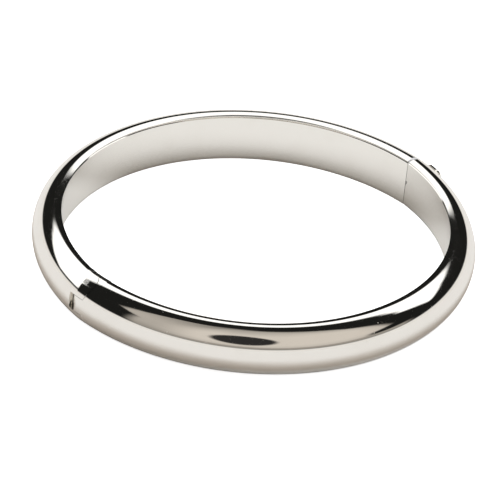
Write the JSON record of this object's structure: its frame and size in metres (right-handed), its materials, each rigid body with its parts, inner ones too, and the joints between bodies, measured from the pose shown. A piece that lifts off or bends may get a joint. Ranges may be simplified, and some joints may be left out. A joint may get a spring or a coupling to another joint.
{
  "type": "hinged bangle bracelet",
  "caption": "Oval hinged bangle of hollow D section, with a flush knuckle hinge at one end and a spring tongue box catch with a thumb tab at the other.",
  "frame": {"origin": "centre of the oval at the level of the lower rim, which the bangle stands on", "axes": "+Z upright through the wrist opening; X along the oval's long axis, hinge at -X and clasp at +X; the back half, which carries the tongue, is at +Y"},
  "size_m": [0.0689, 0.0652, 0.008],
  "materials": {
    "dome_polish": "mirror polished silver",
    "liner_polish": "polished silver with fine wear",
    "knuckle_polish": "mirror polished silver",
    "tab_polish": "mirror polished silver",
    "pin_wire": "drawn silver wire, ends filed flush",
    "end_plate_satin": "satin silver sheet",
    "tongue_spring": "hard rolled silver strip"
  },
  "bodies": {
    "back_half": {"back_dome": "dome_polish", "back_liner": "liner_polish", "back_hinge_end_plate": "end_plate_satin", "upper_hinge_knuckle": "knuckle_polish", "lower_hinge_knuckle": "knuckle_polish", "hinge_pin": "pin_wire", "back_clasp_end_plate": "end_plate_satin", "tongue_fixed_leaf": "tongue_spring"},
    "front_half": {"front_dome": "dome_polish", "front_liner": "liner_polish", "front_hinge_end_plate": "end_plate_satin", "centre_hinge_knuckle": "knuckle_polish", "clasp_mouth_plate": "end_plate_satin", "clasp_box_upper_guide": "end_plate_satin", "clasp_box_lower_guide": "end_plate_satin", "clasp_box_back_wall": "end_plate_satin"},
    "catch_leaf": {"tongue_catch_leaf": "tongue_spring", "thumb_tab": "tab_polish"}
  },
  "joints": [
    {"name": "bangle_hinge", "type": "hinge", "parent": "back_half", "child": "front_half", "pos_m": [-0.03243, -0.0005, 0.004], "axis": [0, 0, -1], "range_deg": [0, 60]},
    {"name": "tab_press", "type": "hinge", "parent": "back_half", "child": "catch_leaf", "pos_m": [0.03144, -0.0062, 0.004], "axis": [0, 0, 1], "range_deg": [0, 3], "stiffness_Nm_per_rad": 0.1, "springref_deg": -3.44}
  ]
}
